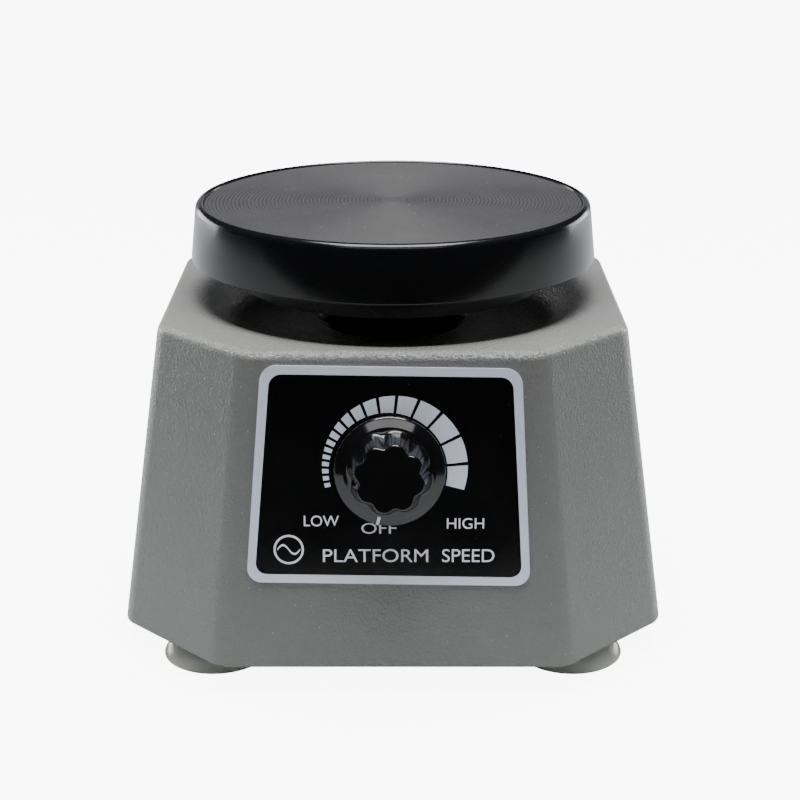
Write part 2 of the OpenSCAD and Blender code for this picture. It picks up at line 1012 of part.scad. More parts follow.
module triac() {
    color("#1e1f22")
    translate([triac_x, triac_y, board_top]) {
        translate([0, 0, 4])
            block(10, 4.4, 9);
        translate([0, 1.2, 12.5])
            block(10, 2, 6.5);
        for (x = [-2.5, 0, 2.5])
            translate([x, 0, 0])
                block(0.9, 0.7, 4.5);
    }
}

module heat_sink() {
    back_t = 1.6;
    fin_pitch = 4.1;
    sink_h = 22;
    color("#8b8f94")
    translate([triac_x, triac_y + triac_tab_y + back_t / 2 + touch, board_top]) {
        block(18, back_t, sink_h);
        for (i = [-2 : 2])
            translate([i * fin_pitch, 3, 0])
                block(1.4, 5, sink_h);
    }
}

module capacitor() {
    cap_at = [11.4, board_y + 5, board_top];
    color("#c9a227")
    translate(cap_at) {
        translate([0, 0, 0.6])
            block(18, 9, 15);
        for (x = [-7.5, 7.5])
            translate([x, 0, 0])
                cylinder(r = 0.5, h = 1);
    }
}

module resistors() {
    up = 1.8;
    lead_r = 0.4;
    lead_at = 4.6;
    color("#b59a72")
    for (x = [2, 9, 16])
        translate([x, resistor_y, board_top]) {
            translate([0, 0, up])
                rotate([90, 0, 0])
                    cylinder(r = 1.6, h = 6.4, center = true);
            for (y = [-lead_at, lead_at])
                translate([0, y, 0])
                    cylinder(r = lead_r, h = up + lead_r);
            translate([0, 0, up])
                rotate([90, 0, 0])
                    cylinder(r = lead_r, h = 2 * lead_at, center = true);
        }
}

module choke() {
    color("#a5532a")
    translate([triac_x, resistor_y, board_top + 3.3])
        rotate_extrude()
            translate([4, 0])
                circle(r = 3.2, $fn = 32);
}

module terminal_block() {
    color("#e9e7e0")
    translate([terminals_x, terminals_y, plate_top])
        difference() {
            block(24, 12, 14);
            for (x = [-terminal_gap, terminal_gap]) {
                translate([x, 0, terminal_floor])
                    cylinder(r = terminal_r, h = 8);
                translate([x, 0, 5])
                    rotate([90, 0, 0])
                        cylinder(r = 2, h = 14, center = true);
            }
        }
}

module terminal_screws() {
    color("#b08d4a")
    for (side = [-1, 1])
        translate([terminals_x + side * terminal_gap, terminals_y, plate_top])
            difference() {
                translate([0, 0, terminal_floor])
                    cylinder(r = terminal_r - touch, h = 5.5);
                translate([0, 0, terminal_floor + 4.5])
                    block(4, 0.6, 2);
            }
}

module earth_tag() {
    color("#b08d4a")
    translate([earth_x, terminals_y, plate_top])
        difference() {
            union() {
                cylinder(r = 4, h = earth_tag_t);
                translate([5.5, 0, 0])
                    block(11, 3, earth_tag_t);
            }
            translate([0, 0, -past])
                cylinder(r = m4_r + screw_clear, h = 3);
        }
}

module earth_screw() {
    color("#c4c7c9")
    translate([earth_x, terminals_y, plate_top]) {
        translate([0, 0, earth_tag_t])
            cylinder(r = 3.4, h = 2.4, $fn = 6);
        cylinder(r = m4_r, h = 1.5);
    }
}

module cord_gland() {
    color("#1b1c1e")
    on_back(gland_x, gland_up)
        difference() {
            union() {
                translate([0, 0, touch])
                    cylinder(r = 9, h = 2.4, $fn = 6);
                translate([0, 0, 2])
                    cylinder(r1 = 7.6, r2 = gland_thread_r, h = gland_out - 2);
                translate([0, 0, -wall - gland_in])
                    cylinder(r = gland_thread_r, h = wall + gland_in + past);
            }
            translate([0, 0, -wall - gland_in - past])
                cylinder(r = gland_bore_r, h = wall + gland_in + gland_out + 2 * past);
        }
}

module gland_nut() {
    color("#2a2b2e")
    on_back(gland_x, gland_up)
        translate([0, 0, -wall - 4.1])
            nut(9, gland_thread_r + touch, 4);
}

module coil_leads() {
    color("#b02a22")
    for (side = [-1, 1])
        let (
            x = terminals_x + side * terminal_gap,
            out = [x / 2, -core_t / 2 - leg + 0.6, coil_z + 5],
            to = [x, terminals_y + 5.8, plate_top + 5]
        )
            wire(bezier(out, out + [0, -8, -2], to + [0, 9, 1], to), wire_r);
}

module pot_leads() {
    color("#2d4f9e")
    for (i = [0 : 2])
        let (
            x = knob_x - 5 + 5 * i,
            from = [x, -54.5, 40.6],
            mid = [31 + 1.9 * i, -22, 34],
            to = [board_w / 2 - 2, board_y - 4 + 2.6 * i, board_top + 0.1]
        )
            wire(concat(
                bezier(from, from + [0, 6, -8], mid + [-4, -14, 0], mid, 8),
                [for (p = bezier(mid, mid + [1, 16, 0], to + [0, 0, 10], to, 8)) if (p != mid) p]
            ), wire_r * 0.8);
}

module rating_panel() {
    foil_t = 0.3;
    foil_y = 43.5;
    color("#c9cccf")
    translate([0, foil_y, plate_z - foil_t - touch])
        block(50, 18, foil_t);
}

housing();
base_plate();
base_screws();
suction_feet();
foot_studs();
foot_washers();
foot_nuts();
fascia_plate();
pot_body();
pot_wafer();
pot_switch();
pot_washer();
pot_nut();
pot_shaft();
knob();
knob_set_screw();
core_stack();
core_rivets();
coil_bobbin();
coil_winding();
coil_tape();
magnet_bracket();
magnet_screws();
spring_pillars();
pillar_screws();
leaf_springs();
spring_spacers();
spring_clamps();
spring_screws();
platform_cover();
platform_disc();
platform_screw();
centre_spacer();
armature_bracket();
armature();
armature_screws();
dust_seal();
control_board();
board_standoffs();
board_screws();
triac();
heat_sink();
capacitor();
resistors();
choke();
terminal_block();
terminal_screws();
earth_screw();
earth_tag();
cord_gland();
gland_nut();
coil_leads();
pot_leads();
rating_panel();
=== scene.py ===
import math

import bmesh
import bpy
from mathutils import Matrix, Vector


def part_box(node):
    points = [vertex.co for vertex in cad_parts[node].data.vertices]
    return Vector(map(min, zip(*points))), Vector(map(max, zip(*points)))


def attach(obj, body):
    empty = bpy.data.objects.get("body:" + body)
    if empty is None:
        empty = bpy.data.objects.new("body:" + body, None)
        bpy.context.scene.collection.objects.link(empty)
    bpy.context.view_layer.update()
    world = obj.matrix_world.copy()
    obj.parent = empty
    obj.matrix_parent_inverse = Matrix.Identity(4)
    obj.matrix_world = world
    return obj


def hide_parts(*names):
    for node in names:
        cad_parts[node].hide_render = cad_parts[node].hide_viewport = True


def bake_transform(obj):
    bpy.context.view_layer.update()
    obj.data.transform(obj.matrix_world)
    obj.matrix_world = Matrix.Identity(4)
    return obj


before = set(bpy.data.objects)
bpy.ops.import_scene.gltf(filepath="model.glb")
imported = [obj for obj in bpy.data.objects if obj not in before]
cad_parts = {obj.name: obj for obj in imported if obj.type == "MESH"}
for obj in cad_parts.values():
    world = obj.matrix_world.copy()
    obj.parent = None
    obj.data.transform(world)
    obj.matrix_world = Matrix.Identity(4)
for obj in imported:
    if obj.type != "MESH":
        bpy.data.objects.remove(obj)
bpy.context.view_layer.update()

# ---------------------------------------------------------------- Camera and studio
# A small studio: a white table that ends a little in front of the mixer, a white wall behind it,
# a strong softbox overhead, a low one on each side at the back and a narrow one high in front.
# Nothing else lights the room but a faint glow.
camera_dip = 18.78
paper_glow = 8.0
room_glow = 0.02
wall_glow = 0.2
paper_white = (0.62, 0.63, 0.64, 1)
table_front = -0.21
table_back = 1.6
table_side = 4
wall_h = 0.5
side_aim = (0, 0, 0.05)
camera_data = bpy.data.cameras.new("camera")
camera_data.sensor_width = 36
camera_data.lens = 81.12
camera_data.clip_start = 0.01
camera = bpy.data.objects.new("camera", camera_data)
camera.location = (0.0018, -0.4582, 0.2080)
camera.rotation_euler = (math.radians(90 - camera_dip), 0, 0)
bpy.context.collection.objects.link(camera)
bpy.context.scene.camera = camera


def add_node(tree, kind, values=None, **settings):
    """Adds a shader node. A value that is another node's socket is linked, any other one is set."""
    node = tree.nodes.new("ShaderNode" + kind)
    for name, setting in settings.items():
        setattr(node, name, setting)
    for socket, value in (values or {}).items():
        if isinstance(value, bpy.types.NodeSocket):
            tree.links.new(value, node.inputs[socket])
        else:
            node.inputs[socket].default_value = value
    return node


def add_softbox(name, place, width, height, power, aim=(0, 0, 0.06)):
    """An area light that faces the mixer."""
    data = bpy.data.lights.new(name, "AREA")
    data.shape = "RECTANGLE"
    data.size = width
    data.size_y = height
    data.energy = power
    softbox = bpy.data.objects.new(name, data)
    softbox.location = place
    softbox.rotation_euler = (Vector(aim) - Vector(place)).to_track_quat("-Z", "Y").to_euler()
    bpy.context.collection.objects.link(softbox)


add_softbox("top_softbox", (0.0, -0.02, 0.90), 0.60, 0.60, 21.0)
add_softbox("left_softbox", (-0.56, 0.50, 0.15), 0.46, 0.28, 2.5, side_aim)
add_softbox("right_softbox", (0.58, 0.52, 0.15), 0.44, 0.28, 2.2, side_aim)
add_softbox("front_softbox", (0.0, -0.60, 0.70), 0.78, 0.12, 1.4)


def seen_strength(tree, glow):
    """A strength that lights the mixer with one glow and looks as bright as lit paper to the eye."""
    looked_at = add_node(tree, "LightPath").outputs["Is Camera Ray"]
    strength = add_node(tree, "MapRange", {"Value": looked_at, "To Min": glow, "To Max": paper_glow})
    return strength.outputs["Result"]


world = bpy.data.worlds.new("studio_air")
world.use_nodes = True
bpy.context.scene.world = world
background = world.node_tree.nodes["Background"]
background.inputs["Color"].default_value = (1, 1, 1, 1)
world.node_tree.links.new(seen_strength(world.node_tree, room_glow), background.inputs["Strength"])


def stage_plane(name, corners, glow):
    """A flat white sheet of paper."""
    shape = bmesh.new()
    shape.faces.new([shape.verts.new(corner) for corner in corners])
    mesh = bpy.data.meshes.new(name)
    shape.to_mesh(mesh)
    shape.free()
    paper = bpy.data.materials.new(name)
    paper.use_nodes = True
    tree = paper.node_tree
    shader = tree.nodes["Principled BSDF"]
    shader.inputs["Base Color"].default_value = paper_white
    shader.inputs["Roughness"].default_value = 0.9
    shader.inputs["Specular IOR Level"].default_value = 0.1
    shader.inputs["Emission Color"].default_value = (1, 1, 1, 1)
    tree.links.new(seen_strength(tree, glow), shader.inputs["Emission Strength"])
    mesh.materials.append(paper)
    sheet = bpy.data.objects.new(name, mesh)
    bpy.context.collection.objects.link(sheet)


stage_plane("table", [(-table_side, table_front, 0), (table_side, table_front, 0),
                      (table_side, table_back, 0), (-table_side, table_back, 0)], 0.0)
stage_plane("back_wall", [(-table_side, table_back, 0), (table_side, table_back, 0),
                          (table_side, table_back, wall_h), (-table_side, table_back, wall_h)], wall_glow)

# ---------------------------------------------------------------- Body casting
# The body is one aluminium casting, eight-sided and open below, with soft edges and a round dish
# in its deck. It is stoved in a grey enamel with a fine orange peel and a little dust. On the deck and
# in the dish the peel is coarser and the grey is painted lighter, which is painted light from overhead.
low_half = 0.06808
deck_half = 0.0578
low_face = 0.0836
deck_face = 0.0696
lip_h = 0.0005
edge_round = 0.008
deck_round = 0.0024
wall = 0.004
dish_r = 0.0550
dish_depth = 0.008
dish_opening_r = 0.017
dish_rim_round = 0.013
dish_floor_round = 0.005
dish_slope = math.radians(50)
half_corner = math.radians(22.5)
near = 0.0001
patches_per_metre = 55.0
patch_low = 0.3
patch_high = 0.7
speck_core = 0.03
speck_edge = 0.10
dust_spacing = 0.0018
dust_colour = (0.55, 0.55, 0.52, 1)
body_low, body_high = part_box("housing")
lean = math.atan((low_half - deck_half) / (body_high.z - body_low.z))


def effect_group(name, inputs, outputs):
    """An empty shader group with float sockets, its way in and its way out."""
    group = bpy.data.node_groups.new(name, "ShaderNodeTree")
    for socket, value in inputs.items():
        entry = group.interface.new_socket(socket, in_out="INPUT", socket_type="NodeSocketFloat")
        entry.default_value = value
    for socket in outputs:
        group.interface.new_socket(socket, in_out="OUTPUT", socket_type="NodeSocketFloat")
    return group, group.nodes.new("NodeGroupInput"), group.nodes.new("NodeGroupOutput")


def combine(tree, how, first, second):
    """One number made from two."""
    return add_node(tree, "Math", {0: first, 1: second}, operation=how).outputs[0]


# Grain of a chosen size, in metres, with slow patches over it
grain_group, way_in, way_out = effect_group("grain", {"Size": 0.0005}, ("Relief", "Patches"))
place = add_node(grain_group, "TexCoord").outputs["Object"]
per_metre = combine(grain_group, "DIVIDE", 1.0, way_in.outputs["Size"])
fine = add_node(grain_group, "TexNoise", {"Vector": place, "Scale": per_metre, "Detail": 3.0})
slow = add_node(grain_group, "TexNoise", {"Vector": place, "Scale": patches_per_metre, "Detail": 3.0})
grain_group.links.new(fine.outputs["Fac"], way_out.inputs["Relief"])
grain_group.links.new(slow.outputs["Fac"], way_out.inputs["Patches"])

# Small round specks of dust, spaced in metres. Share is the part of the cells that hold one, and
# Strength is how well they cover
specks_group, way_in, way_out = effect_group(
    "specks", {"Spacing": 0.002, "Share": 0.1, "Strength": 0.5}, ("Mask",))
place = add_node(specks_group, "TexCoord").outputs["Object"]
per_metre = combine(specks_group, "DIVIDE", 1.0, way_in.outputs["Spacing"])
cells = add_node(specks_group, "TexVoronoi", {"Vector": place, "Scale": per_metre})
dot = add_node(specks_group, "MapRange", {"Value": cells.outputs["Distance"], "From Min": speck_core,
                                          "From Max": speck_edge, "To Min": 1.0, "To Max": 0.0})
lot = add_node(specks_group, "SeparateColor", {"Color": cells.outputs["Color"]})
held = combine(specks_group, "LESS_THAN", lot.outputs["Red"], way_in.outputs["Share"])
held_dot = combine(specks_group, "MULTIPLY", dot.outputs[0], held)
thin = combine(specks_group, "MULTIPLY", held_dot, way_in.outputs["Strength"])
specks_group.links.new(thin, way_out.inputs["Mask"])


def finish(name, light, dark, roughness, grain, depth, metal=0.0, dust=None):
    """A surface whose colour and roughness run between two values, with a relief of one grain.

    Dust is its share and its strength.
    """
    material = bpy.data.materials.new(name)
    material.use_nodes = True
    tree = material.node_tree
    shader = tree.nodes["Principled BSDF"]
    shader.inputs["Metallic"].default_value = metal
    grained = add_node(tree, "Group", node_tree=grain_group)
    grained.inputs["Size"].default_value = grain
    relief = grained.outputs["Relief"]
    patches = grained.outputs["Patches"]
    # A Mix node's sockets go by number: 0 is the factor, 6 and 7 are the colours
    colour = add_node(tree, "Mix", {0: patches, 6: (*dark, 1), 7: (*light, 1)}, data_type="RGBA")
    tinted = colour.outputs[2]
    if dust:
        specks = add_node(tree, "Group", node_tree=specks_group)
        specks.inputs["Spacing"].default_value = dust_spacing
        specks.inputs["Share"].default_value = dust[0]
        specks.inputs["Strength"].default_value = dust[1]
        dusty = add_node(tree, "Mix", {0: specks.outputs["Mask"], 6: tinted, 7: dust_colour},
                         data_type="RGBA")
        tinted = dusty.outputs[2]
    tree.links.new(tinted, shader.inputs["Base Color"])
    rough = add_node(tree, "MapRange", {"Value": patches, "From Min": patch_low, "From Max": patch_high,
                                        "To Min": roughness[0], "To Max": roughness[1]})
    tree.links.new(rough.outputs["Result"], shader.inputs["Roughness"])
    bump = add_node(tree, "Bump", {"Strength": 1.0, "Distance": depth, "Height": relief})
    tree.links.new(bump.outputs["Normal"], shader.inputs["Normal"])
    return material


def add_piece(name, shape, material, body=None, sharp=30):
    """Makes a finished bmesh a piece, riding on a body if one is named.

    Edges over sharp degrees stay crisp.
    """
    bmesh.ops.remove_doubles(shape, verts=shape.verts, dist=0.000002)
    bmesh.ops.recalc_face_normals(shape, faces=shape.faces)
    mesh = bpy.data.meshes.new(name)
    shape.to_mesh(mesh)
    shape.free()
    mesh.shade_smooth()
    mesh.set_sharp_from_angle(angle=math.radians(sharp))
    mesh.materials.append(material)
    piece = bpy.data.objects.new(name, mesh)
    bpy.context.collection.objects.link(piece)
    if body:
        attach(piece, body)
    return piece


def points_of(made):
    """The vertices among what an operator made."""
    return [part for part in made if isinstance(part, bmesh.types.BMVert)]


def arc(centre, radius, start, end, count):
    """Points round part of a circle, from one angle to another in degrees."""
    turns = [math.radians(start + (end - start) * i / count) for i in range(count + 1)]
    return [(centre[0] + radius * math.cos(t), centre[1] + radius * math.sin(t)) for t in turns]


def turn_profile(shape, profile, steps):
    """Turns a line of (radius, height) points once round the z axis."""
    points = [shape.verts.new((radius, 0, height)) for radius, height in profile]
    edges = [shape.edges.new(pair) for pair in zip(points, points[1:])]
    bmesh.ops.spin(shape, geom=points + edges, cent=(0, 0, 0), axis=(0, 0, 1), angle=math.tau,
                   steps=steps, use_merge=True)
    bmesh.ops.remove_doubles(shape, verts=shape.verts, dist=0.0000005)


def place_octagon(points, half, face, z):
    """Moves eight points to the corners of the body's outline at one height."""
    for point in points:
        facing_y = abs(point.co.x) < abs(point.co.y)
        x, y = (face / 2, half) if facing_y else (half, face / 2)
        point.co = (math.copysign(x, point.co.x), math.copysign(y, point.co.y), z)


def edges_at(shape, z):
    """The edges that lie flat at one height."""
    return [e for e in shape.edges if all(abs(v.co.z - z) < 0.000001 for v in e.verts)]


casting = bmesh.new()
lip_z = body_low.z + lip_h
lip_half = low_half - lip_h * math.tan(lean)
ring = bmesh.ops.create_circle(casting, segments=8, radius=low_half,
                               matrix=Matrix.Rotation(half_corner, 4, "Z"))
place_octagon(ring["verts"], lip_half, low_face, body_low.z)
last_z = body_low.z
for z, half, face in ((lip_z, lip_half, low_face), (body_high.z, deck_half, deck_face)):
    grown = bmesh.ops.extrude_edge_only(casting, edges=edges_at(casting, last_z))["geom"]
    place_octagon(points_of(grown), half, face, z)
    last_z = z
bmesh.ops.contextual_create(casting, geom=edges_at(casting, body_high.z))
upright = [e for e in casting.edges if abs(e.verts[0].co.z - e.verts[1].co.z) > near]
bmesh.ops.bevel(casting, geom=upright, offset=edge_round * math.tan(half_corner), segments=8,
                profile=0.5, affect="EDGES", material=-1)
deck = max(casting.faces, key=lambda f: f.calc_center_median().z)
bmesh.ops.bevel(casting, geom=list(deck.edges), offset=deck_round * math.tan((math.pi / 2 - lean) / 2),
                segments=6, profile=0.5, affect="EDGES", material=-1)
deck = max(casting.faces, key=lambda f: f.calc_center_median().z)
deck_outline = list(deck.edges)
bmesh.ops.delete(casting, geom=[deck], context="FACES_ONLY")
rim_end = 90 + math.degrees(dish_slope)
rim = arc((dish_r, body_high.z - dish_rim_round), dish_rim_round, 90, rim_end, 12)
floor_z = body_high.z - dish_depth
foot_of_slope = floor_z + dish_floor_round * (1 - math.cos(dish_slope))
run = (rim[-1][1] - foot_of_slope) / math.tan(dish_slope)
bowl_r = rim[-1][0] - run - dish_floor_round * math.sin(dish_slope)
bowl = arc((bowl_r, floor_z + dish_floor_round), dish_floor_round, rim_end - 180, -90, 6)
turn_profile(casting, rim + bowl + [(dish_opening_r, floor_z)], 128)
dish_edge = [e for e in edges_at(casting, body_high.z)
             if all(v.co.xy.length < dish_r + near for v in e.verts)]
bmesh.ops.triangle_fill(casting, edges=deck_outline + dish_edge, use_beauty=True, normal=(0, 0, 1))

enamel = finish("grey_enamel", (0.156, 0.160, 0.154), (0.142, 0.146, 0.140), (0.15, 0.19), 0.00065,
                0.00030, dust=(0.45, 0.55))
# The second finish has a coarser peel and a lighter grey, which is painted light falling on the deck and the
# dish from above.
deck_enamel_painted_light = finish("coarse_peel_grey_enamel_painted_light", (0.186, 0.190, 0.182), (0.170, 0.174, 0.168), (0.13, 0.17),
                      0.00070, 0.00065, dust=(0.45, 0.55))
body_shell = add_piece("body_casting", casting, enamel, "body", sharp=50)
body_shell.data.materials.append(deck_enamel_painted_light)
# The deck, the upper edge round and the dish take the lighter grey of painted overhead light.
for face in body_shell.data.polygons:
    if face.center.z > body_high.z - deck_round / 2 or face.center.xy.length < dish_r:
        face.material_index = 1
thickness = body_shell.modifiers.new("wall", "SOLIDIFY")
thickness.thickness = wall
thickness.offset = -1
thickness.use_even_offset = True
flat_sides = body_shell.modifiers.new("flat_sides", "WEIGHTED_NORMAL")
flat_sides.keep_sharp = True
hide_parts("housing")


# ---------------------------------------------------------------- Base plate
# A pressed zinc-plated steel plate closes the body from below, held by four plated pan screws
# that run up into bosses of the casting. A blank foil panel is stuck on it. The other zinc-plated
# parts and the bright screws inside have the same two finishes.
def coat(material, *names):
    """Gives CAD nodes a finish of their own."""
    for name in names:
        for node_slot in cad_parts[name].material_slots:
            node_slot.material = material


zinc = finish("zinc_plated_steel", (0.62, 0.61, 0.55), (0.50, 0.51, 0.48), (0.28, 0.46), 0.0009,
              0.000012, metal=1.0)
coat(zinc, "base_plate", "foot_washers", "magnet_bracket", "spring_pillars", "spring_spacers",
     "spring_clamps", "centre_spacer", "armature_bracket")
plated = finish("bright_plated_screws", (0.70, 0.70, 0.70), (0.56, 0.57, 0.58), (0.16, 0.30), 0.0004,
                0.000006, metal=1.0)
coat(plated, "base_screws", "foot_studs", "foot_nuts", "magnet_screws", "pillar_screws", "spring_screws",
     "platform_screw", "armature_screws", "board_screws", "earth_screw", "knob_set_screw")
foil = finish("blank_foil", (0.66, 0.67, 0.69), (0.58, 0.59, 0.61), (0.30, 0.42), 0.0003, 0.000008,
              metal=1.0)
coat(foil, "rating_panel")

# ---------------------------------------------------------------- Suction feet
# Four cups moulded in soft, cloudy PVC. Each is pushed on a stud through the base plate, and its
# thin lip spreads on the bench.
foot_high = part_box("suction_feet")[1]
foot_r = 0.0133
foot_at = foot_high.x - foot_r
foot_lip_round = 0.0006
stem_r = 0.0052
cloudy = finish("cloudy_pvc", (0.90, 0.91, 0.86), (0.82, 0.83, 0.78), (0.12, 0.20), 0.0012, 0.00002)
cloudy_shader = cloudy.node_tree.nodes["Principled BSDF"]
cloudy_shader.inputs["Transmission Weight"].default_value = 0.35
cloudy_shader.inputs["IOR"].default_value = 1.48
cups = bmesh.new()
under = [(0, 0.0045), (0.006, 0.0042), (0.0085, 0.0034), (0.0102, 0.0024), (0.0114, 0.0012), (0.0122, 0.0)]
lip = arc((foot_r - foot_lip_round, foot_lip_round), foot_lip_round, -90, 40, 5)
upper = [(0.0130, 0.0014), (0.0124, 0.0024), (0.0112, 0.0034), (0.0096, 0.0043), (0.0078, 0.0050),
         (0.0062, 0.0055), (stem_r, 0.0063), (stem_r, foot_high.z), (0, foot_high.z)]
turn_profile(cups, under + lip + upper, 64)
first_cup = list(cups.verts) + list(cups.edges) + list(cups.faces)
for x, y in ((foot_at, foot_at), (-foot_at, foot_at), (-foot_at, -foot_at)):
    copied = bmesh.ops.duplicate(cups, geom=first_cup)["geom"]
    bmesh.ops.translate(cups, verts=points_of(copied), vec=(x, y, 0))
bmesh.ops.translate(cups, verts=points_of(first_cup), vec=(foot_at, -foot_at, 0))
feet = add_piece("suction_cups", cups, cloudy, "body", sharp=60)
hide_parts("suction_feet")

# ---------------------------------------------------------------- Control panel
# An anodised aluminium plate is stuck on the sloping front face. Its border and the dial's blocks
# are the bare metal left by the black print, and the words are printed white. Each print is a
# thin layer here, and the blocks and the words stand on the black one.
panel_at = Vector((-0.0006, 0.0472))
panel_turn = math.radians(-0.8)
panel_top_w = 0.061
panel_low_w = 0.0677
panel_h = 0.0525
panel_t = 0.00052
panel_corner = 0.0037
glue_t = 0.00002
border_w = 0.0021
field_corner = 0.0028
print_t = 0.00003
front = Matrix.Translation((0, -low_half, body_low.z)) @ Matrix.Rotation(math.pi / 2 - lean, 4, "X")
panel_place = front @ Matrix.Translation((*panel_at, 0)) @ Matrix.Rotation(panel_turn, 4, "Z")


def thicken(shape, thickness):
    """Gives flat faces a thickness, upwards."""
    raised = bmesh.ops.extrude_face_region(shape, geom=list(shape.faces))["geom"]
    bmesh.ops.translate(shape, verts=points_of(raised), vec=(0, 0, thickness))


def rounded_plate(rim_w, corner, z, thickness):
    """A flat plate like the panel with round corners, smaller by a rim all round, from z upwards."""
    shape = bmesh.new()
    top_x = (panel_top_w - 2 * rim_w) / 2
    low_x = (panel_low_w - 2 * rim_w) / 2
    side_y = (panel_h - 2 * rim_w) / 2
    corners = [(-low_x, -side_y), (low_x, -side_y), (top_x, side_y), (-top_x, side_y)]
    face = shape.faces.new([shape.verts.new((x, y, z)) for x, y in corners])
    bmesh.ops.bevel(shape, geom=list(face.verts), offset=corner, segments=8, profile=0.5,
                    affect="VERTICES", material=-1)
    thicken(shape, thickness)
    bmesh.ops.transform(shape, matrix=panel_place, verts=shape.verts)
    return shape


bare_metal = finish("bare_anodised", (0.74, 0.79, 0.93), (0.68, 0.73, 0.87), (0.32, 0.44), 0.0003,
                    0.000008, metal=0.20)
plate = rounded_plate(0, panel_corner, glue_t, panel_t - glue_t)
panel_plate = add_piece("panel_plate", plate, bare_metal, "body")
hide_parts("fascia_plate")

black_print = finish("black_print", (0.0016, 0.0017, 0.0022), (0.0010, 0.0011, 0.0014), (0.16, 0.22),
                     0.0006, 0.000008, dust=(0.12, 0.08))
field = rounded_plate(border_w, field_corner, panel_t, print_t)
add_piece("panel_print", field, black_print, "body")

# The dial is a crescent of blocks round the knob, wide ones at the high end. The widths are in
# degrees, and each is a fixed part of the one before it between the widest and the narrowest
dial_z = panel_t + print_t
dial_centre = Vector((-0.0010, 0.0486))
dial_inner_r = 0.0140
dial_outer_centre = Vector((0.0006, 0.0495))
dial_outer_r = 0.01715
dial_middle_r = 0.0155
dial_start = -15.5
dial_gap = 0.00070
block_depth = 0.003
dial_blocks = 18
widest_block = 21.2
narrowest_block = 6.6
block_ratio = 0.885
dial = bmesh.new()
block_start = dial_start
for i in range(dial_blocks):
    width = min(widest_block, max(narrowest_block, widest_block * block_ratio ** (i - 2)))
    shrink = math.degrees(dial_gap / dial_middle_r) / 2
    begin = math.radians(block_start + shrink)
    span = math.radians(width - 2 * shrink)
    heading = Vector((math.cos(begin), math.sin(begin), 0))
    ends = [dial.verts.new(heading * r) for r in (dial_inner_r, dial_inner_r + block_depth)]
    bmesh.ops.spin(dial, geom=ends + [dial.edges.new(ends)], cent=(0, 0, 0), axis=(0, 0, 1),
                   angle=span, steps=6)
    block_start += width
for point in dial.verts:
    if point.co.length > dial_inner_r + block_depth / 2:
        ray = point.co.normalized().xy
        shift = dial_outer_centre - dial_centre
        along = ray.dot(shift)
        reach = along + math.sqrt(along ** 2 - shift.length_squared + dial_outer_r ** 2)
        point.co = (*(ray * reach), 0)
thicken(dial, print_t)
bmesh.ops.translate(dial, verts=dial.verts, vec=(*dial_centre, dial_z))
bmesh.ops.transform(dial, matrix=front, verts=dial.verts)
add_piece("dial_blocks", dial, bare_metal, "body")

letter_white = finish("letter_white", (0.80, 0.82, 0.85), (0.74, 0.76, 0.79), (0.34, 0.44), 0.0003,
                      0.000006)


def print_words(name, words, middle, width, height):
    """White words on the panel, fitted into a box."""
    writing = bpy.data.curves.new(name, "FONT")
    writing.body = words
    writing.extrude = 0.5
    holder = bpy.data.objects.new(name, writing)
    bpy.context.collection.objects.link(holder)
    bpy.context.view_layer.update()
    mesh = bpy.data.meshes.new_from_object(holder.evaluated_get(bpy.context.evaluated_depsgraph_get()))
    bpy.data.objects.remove(holder)
    letters = bmesh.new()
    letters.from_mesh(mesh)
    corners = [Vector(pick(v.co[axis] for v in letters.verts) for axis in range(3)) for pick in (min, max)]
    size = corners[1] - corners[0]
    centre = (corners[0] + corners[1]) / 2
    bmesh.ops.translate(letters, verts=letters.verts, vec=-centre)
    bmesh.ops.scale(letters, verts=letters.verts, vec=(width / size.x, height / size.y, print_t / size.z))
    bmesh.ops.translate(letters, verts=letters.verts, vec=(*middle, dial_z + print_t / 2))
    bmesh.ops.transform(letters, matrix=front, verts=letters.verts)
    add_piece(name, letters, letter_white, "body")


print_words("word_low", "LOW", (-0.0168, 0.0365), 0.0083, 0.0026)
print_words("word_off", "OFF", (-0.0032, 0.0347), 0.0083, 0.0026)
print_words("word_high", "HIGH", (0.0173, 0.0359), 0.0088, 0.0026)
print_words("word_platform", "PLATFORM", (-0.0040, 0.0280), 0.0250, 0.0032)
print_words("word_speed", "SPEED", (0.0180, 0.0280), 0.0124, 0.0032)

# A plain ring with a wave across it fills the panel's lower left corner
mark_at = (-0.0246, 0.0295, dial_z)
mark_r = 0.0036
mark_line = 0.0005
wave_w = 1.5 * mark_r
wave_h = 0.0011
wave_steps = 16
mark = bmesh.new()
bmesh.ops.create_circle(mark, segments=48, radius=mark_r, cap_ends=True)
bmesh.ops.inset_region(mark, faces=list(mark.faces), thickness=mark_line, use_boundary=True,
                       use_even_offset=True)
bmesh.ops.delete(mark, geom=[f for f in mark.faces if len(f.verts) > 4], context="FACES")
wave_points = []
for i in range(wave_steps + 1):
    part = i / wave_steps
    wave_y = wave_h * math.sin(math.tau * part) - mark_line / 2
    wave_points.append(mark.verts.new(((part - 0.5) * wave_w, wave_y, 0)))
wave_edges = [mark.edges.new(pair) for pair in zip(wave_points, wave_points[1:])]
swept = bmesh.ops.extrude_edge_only(mark, edges=wave_edges)["geom"]
bmesh.ops.translate(mark, verts=points_of(swept), vec=(0, mark_line, 0))
thicken(mark, print_t)
bmesh.ops.translate(mark, verts=mark.verts, vec=mark_at)
bmesh.ops.transform(mark, matrix=front, verts=mark.verts)
add_piece("wave_mark", mark, letter_white, "body")

